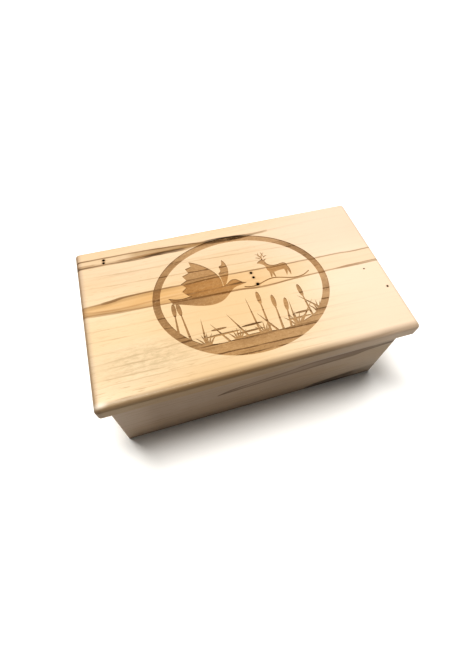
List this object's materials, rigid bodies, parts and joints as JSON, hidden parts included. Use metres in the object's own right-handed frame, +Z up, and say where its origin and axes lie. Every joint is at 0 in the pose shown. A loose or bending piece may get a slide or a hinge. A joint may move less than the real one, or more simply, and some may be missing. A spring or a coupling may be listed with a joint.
{
  "type": "wooden card deck box",
  "caption": "Low rectangular maple box with a thick lift-off lid that overhangs all round and bears an engraved oval marsh scene; a divider inside makes felt-lined bays for card decks.",
  "frame": {"origin": "on the table at the centre of the box's footprint", "axes": "+X along the box's length, to the right with the engraving upright; +Y to the back, the engraving's upper side; +Z up, the way the lid lifts"},
  "size_m": [0.226, 0.1284, 0.0855],
  "materials": {
    "lid_maple": "satin lacquer over pale maple with brown streaks",
    "wall_maple": "satin lacquer over pale maple with brown streaks",
    "divider_maple": "thinly lacquered maple",
    "batten_maple": "thinly lacquered maple",
    "birch_plywood": "bare sanded birch veneer",
    "spline_walnut": "bare sawn walnut",
    "green_felt": "short pressed wool felt",
    "screw_brass": "plain turned brass, slightly dulled"
  },
  "bodies": {
    "box": {"front_wall": "wall_maple", "back_wall": "wall_maple", "left_wall": "wall_maple", "right_wall": "wall_maple", "corner_spline_front_left": "spline_walnut", "corner_spline_front_right": "spline_walnut", "corner_spline_back_left": "spline_walnut", "corner_spline_back_right": "spline_walnut", "bottom_panel": "birch_plywood", "divider": "divider_maple", "felt_liner_left": "green_felt", "felt_liner_right": "green_felt"},
    "lid": {"lid_panel": "lid_maple", "lid_batten_left": "batten_maple", "lid_batten_right": "batten_maple", "batten_screws": "screw_brass"}
  },
  "joints": [
    {"name": "lid_lift", "type": "slide", "parent": "box", "child": "lid", "axis": [0, 0, 1], "range_m": [0, 0.12]}
  ]
}
